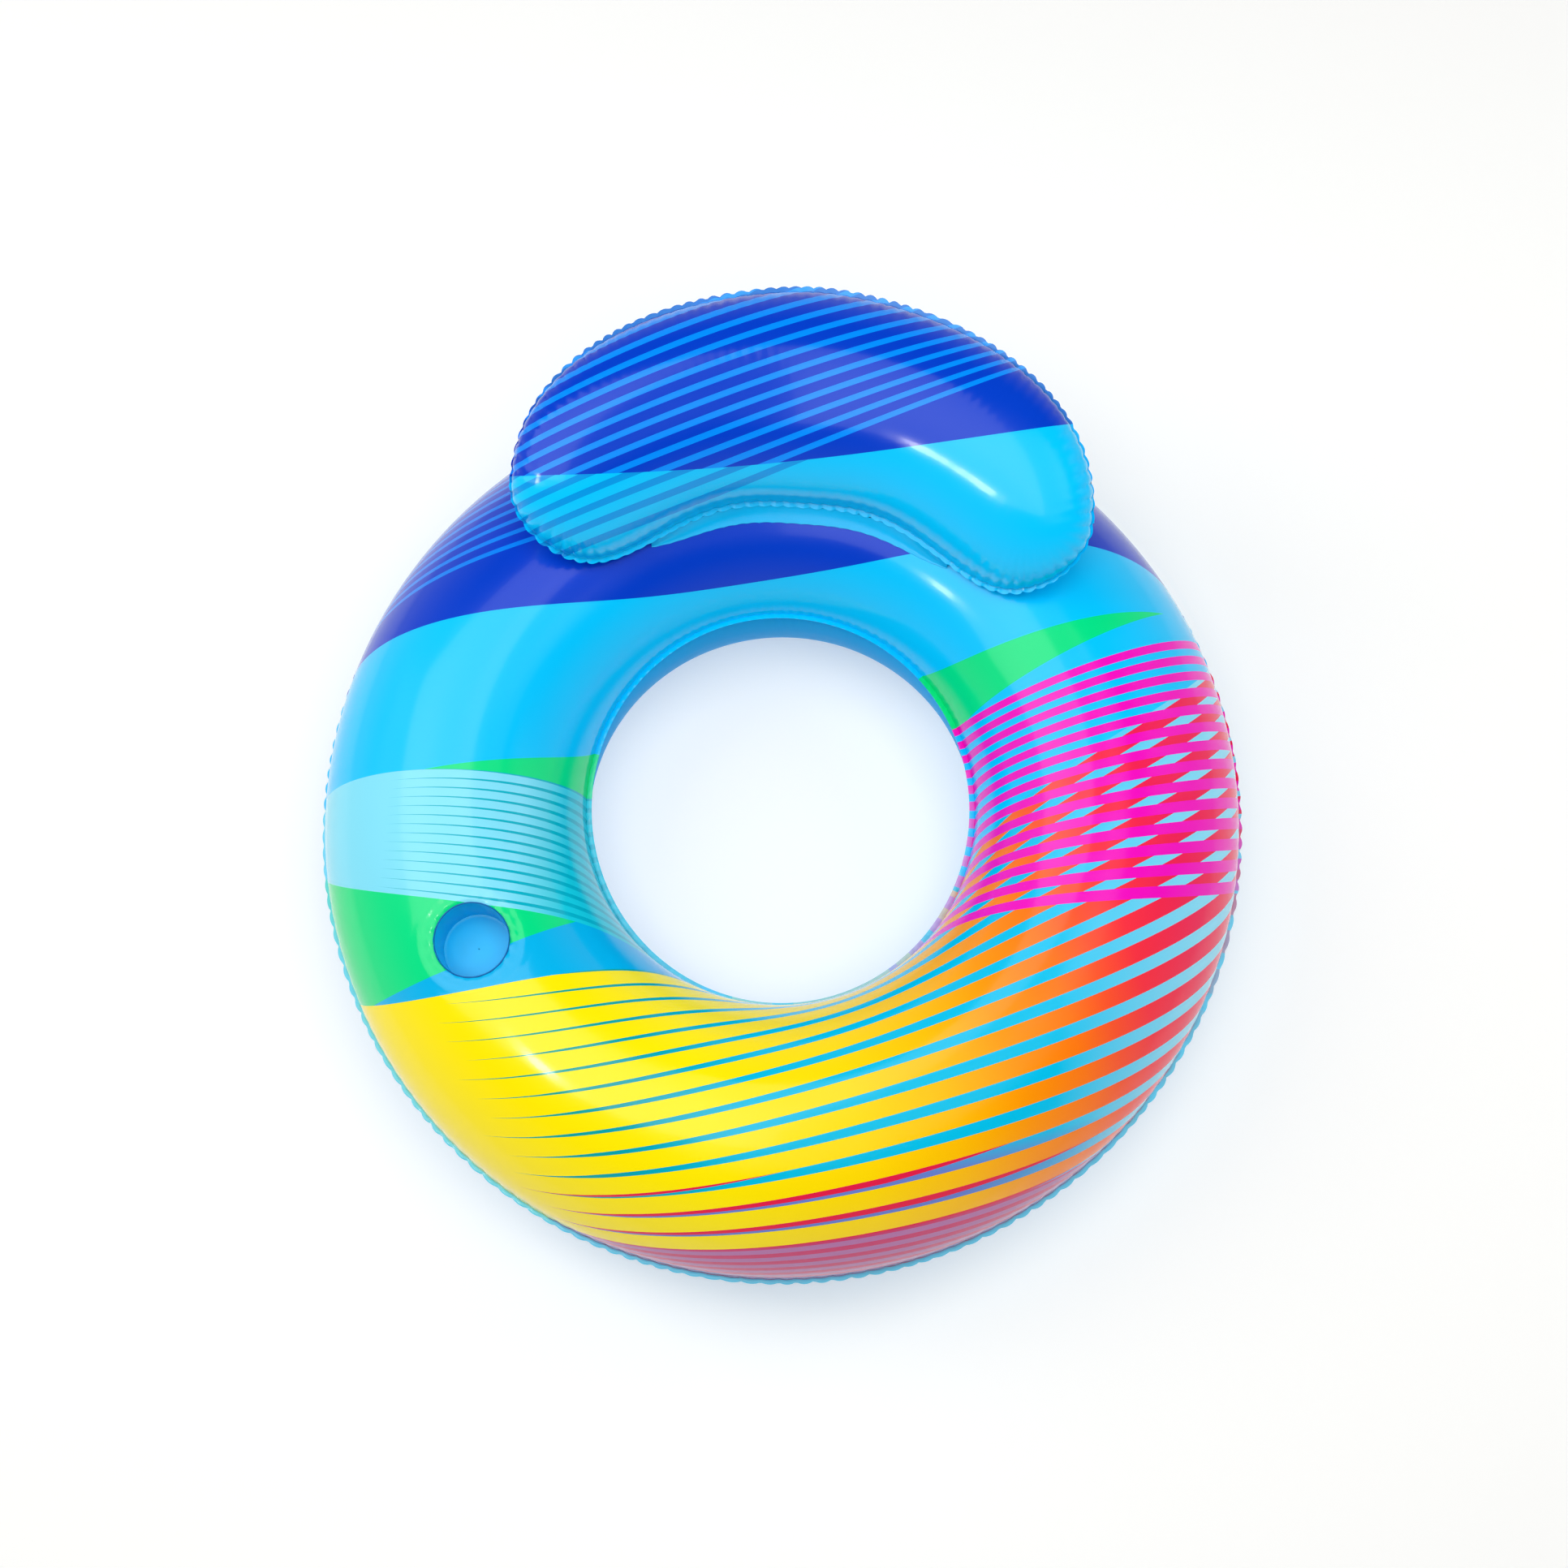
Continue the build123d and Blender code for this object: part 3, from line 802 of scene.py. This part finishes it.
def backrest_print(tree):
    """The backrest's print: light stripes on deep blue over a plain cyan front."""
    x, y = print_place(tree)
    art = Print(tree, CYAN)
    horizon = curve(x, 4.185, 0.165, -0.0165, -0.0006)
    above = y.over(horizon)
    count = (y - curve(x, 4.31, 0.44, -0.03)) / curve(x, 0.193, -0.012, -0.004)
    between = (count + 0.5).wave()
    trail = between.under(0.21).both(count.over(-0.95)).both(x.under(1.6))
    art.lay(above.flip().both(trail), TRAIL_BLUE).lay(above, DEEP_BLUE)
    art.lay(above.both(count.wave().under(0.19)).both(count.over(-0.5)), PILLOW_STRIPE)
    art.lay(field(tree, "flange") * y.ramp(3.9, 4.6) * 0.3, FLANGE_BLUE)
    return art.colour


def bottom_colour(tree):
    """The plain blue underside, with lighter flanges."""
    art = Print(tree, UNDERSIDE_BLUE).lay(field(tree, "flange"), FLANGE_BLUE)
    return art.colour


# ================================================================ camera, floor and lights
CAMERA_PLACE = Vector((0.1024, -0.6613, 2.9354))
CAMERA_ROLL = 0.0728
CAMERA_LENS = 51.13
CAMERA_SHIFT = (0.0020, 0.0201)

# soft lamps that reflections don't show: name, place, aim, size, power
LAMPS = (
    ("key_left", (-2.3, 0.5, 2.4), (-0.2, 0, 0.2), (1.6, 2.4), 40),
    ("fill_right", (2.4, 1.2, 2.2), (0.1, 0.1, 0.2), (1.2, 1.6), 18),
    ("overhead", (0.2, -0.3, 3.6), (0, 0, 0), (2.6, 2.6), 90),
)
# cards that only reflections show, three of them stepped for one soft-edged band
CARDS = (
    ("left_card_1", (-1.275, 0.15, 1.95), (-1.275, 0.15, 0), (1.25, 1.7), 8.25),
    ("left_card_2", (-1.125, 0.15, 1.95), (-1.125, 0.15, 0), (1.55, 1.7), 10.23),
    ("left_card_3", (-0.95, 0.15, 1.95), (-0.95, 0.15, 0), (1.9, 1.7), 12.54),
    ("right_card", (0.62, 0.35, 1.95), (0.62, 0.35, 0), (0.45, 0.9), 0.35),
    ("small_card", (-0.75, -0.55, 1.9), (-0.2, 0, 0.3), (0.12, 0.16), 1.5),
)


def make_camera():
    """The camera looks at the ring's middle from above its front, slightly rolled."""
    camera = bpy.data.objects.new("camera", bpy.data.cameras.new("camera"))
    bpy.context.scene.collection.objects.link(camera)
    ahead = (Vector((0, 0, MIDDLE_Z)) - CAMERA_PLACE).normalized()
    right = ahead.cross(Vector((0, 0, 1))).normalized()
    up = right.cross(ahead)
    rolled_right = right * math.cos(CAMERA_ROLL) - up * math.sin(CAMERA_ROLL)
    rolled_up = right * math.sin(CAMERA_ROLL) + up * math.cos(CAMERA_ROLL)
    axes = Matrix((rolled_right, rolled_up, -ahead)).transposed()
    camera.matrix_world = Matrix.Translation(CAMERA_PLACE) @ axes.to_4x4()
    camera.data.sensor_width = 36
    camera.data.lens = CAMERA_LENS
    camera.data.shift_x, camera.data.shift_y = CAMERA_SHIFT
    bpy.context.scene.camera = camera


def area_light(name, place, aim, size, power):
    """A soft rectangular lamp."""
    lamp = bpy.data.lights.new(name, "AREA")
    lamp.shape = "RECTANGLE"
    lamp.size, lamp.size_y = size
    lamp.energy = power
    lamp_object = bpy.data.objects.new(name, lamp)
    lamp_object.location = place
    lamp_object.rotation_euler = (Vector(aim) - Vector(place)).to_track_quat("-Z", "Y").to_euler()
    bpy.context.scene.collection.objects.link(lamp_object)
    return lamp_object


def surround(tree):
    """A pale surround, bright near the horizon and darker overhead."""
    back = tree.nodes["Background"]
    back.inputs[1].default_value = 1.0
    place = tree.nodes.new("ShaderNodeTexCoord")
    split = tree.nodes.new("ShaderNodeSeparateXYZ")
    tree.links.new(place.outputs["Generated"], split.inputs[0])
    level = Value(tree, split.outputs[2]).ramp(0.0, 0.7).flip() * 0.62 + 0.04
    grey = tree.nodes.new("ShaderNodeCombineColor")
    for channel in grey.inputs[:3]:
        tree.links.new(level.socket, channel)
    tree.links.new(grey.outputs[0], back.inputs[0])


def make_stage():
    """A plain pale floor, a pale surround and soft studio lamps."""
    bpy.ops.mesh.primitive_plane_add(size=30, location=(0, 0, RING_LOW.z - 0.001))
    floor = bpy.context.object
    floor.name = "floor"
    paper = bpy.data.materials.new("floor_paper")
    paper.use_nodes = True
    shader = paper.node_tree.nodes["Principled BSDF"]
    shader.inputs["Base Color"].default_value = (0.62, 0.62, 0.60, 1)
    shader.inputs["Roughness"].default_value = 0.9
    shader.inputs["Specular IOR Level"].default_value = 0.1
    shader.inputs["Emission Color"].default_value = (1, 1, 1, 1)
    shader.inputs["Emission Strength"].default_value = 0.42
    floor.data.materials.append(paper)
    world = bpy.data.worlds.new("surround")
    bpy.context.scene.world = world
    world.use_nodes = True
    surround(world.node_tree)
    for lamp in LAMPS:
        area_light(*lamp).visible_glossy = False
    for card in CARDS:
        area_light(*card).visible_diffuse = False


make_camera()
make_stage()
bpy.context.scene.view_settings.view_transform = "Standard"


# ================================================================ the pieces
def dress(piece, material, slot, body, *nodes):
    """Give a piece its material, hide the CAD nodes it stands for, and ride."""
    piece.data.materials.clear()
    piece.data.materials.append(material)
    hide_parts(*nodes)
    if body:
        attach(piece, body)
    return piece


printed = vinyl("printed_vinyl", ring_print)
backrest_printed = vinyl("backrest_printed_vinyl", backrest_print)
plain_blue = vinyl("plain_blue_vinyl", bottom_colour, gloss=0.4, coat=0.0, shine=0.06)
weld_blue = vinyl("weld_vinyl", (0, 186, 244), gloss=0.24, coat=0.1)
cup_blue = vinyl("cup_vinyl", (0, 200, 248), gloss=0.3, coat=0.0)
cup_floor_blue = vinyl("cup_floor_vinyl", (0, 194, 246), gloss=0.3, coat=0.0)
rim_blue = vinyl("cup_rim_vinyl", (0, 104, 176), gloss=0.3, coat=0.0)
valve_clear = vinyl("valve_vinyl", (196, 226, 240), gloss=0.34, coat=0.1, see=0.2)

dress(ring_panel("ring_printed_top", True), printed, "printed_vinyl", "ring", "ring_top_panel")
dress(ring_panel("ring_blue_bottom", False), plain_blue, "blue_vinyl", "ring", "ring_bottom_panel")
top_sheet = dress(pillow_sheet("backrest_printed_top", 1), backrest_printed,
                  "backrest_printed_vinyl", "backrest", "backrest_top_panel")
bottom_sheet = dress(pillow_sheet("backrest_blue_bottom", -1), plain_blue,
                     "blue_vinyl", "backrest", "backrest_bottom_panel")

weld = dress(weld_flange("backrest_weld_flange"), weld_blue, "weld_vinyl", None, "backrest_weld_strip")
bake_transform(weld)

dress(cup_well_wall(), cup_blue, "cup_vinyl", "ring", "cup_wall")
dress(cup_well_floor(), cup_floor_blue, "cup_vinyl", "ring", "cup_floor")
dress(cup_welded_rim(), rim_blue, "cup_vinyl", "ring", "cup_rim")

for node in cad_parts.values():
    if "_valve_" in node.name:
        for place in node.material_slots:
            place.material = valve_clear

for prefix in ("ring", "backrest"):
    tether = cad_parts[f"{prefix}_valve_tether"]
    strap = bpy.data.objects.new(f"{prefix}_valve_strap", tether.data.copy())
    bpy.context.scene.collection.objects.link(strap)
    dress(strap, valve_clear, "valve_vinyl", None, f"{prefix}_valve_tether")
    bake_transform(strap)
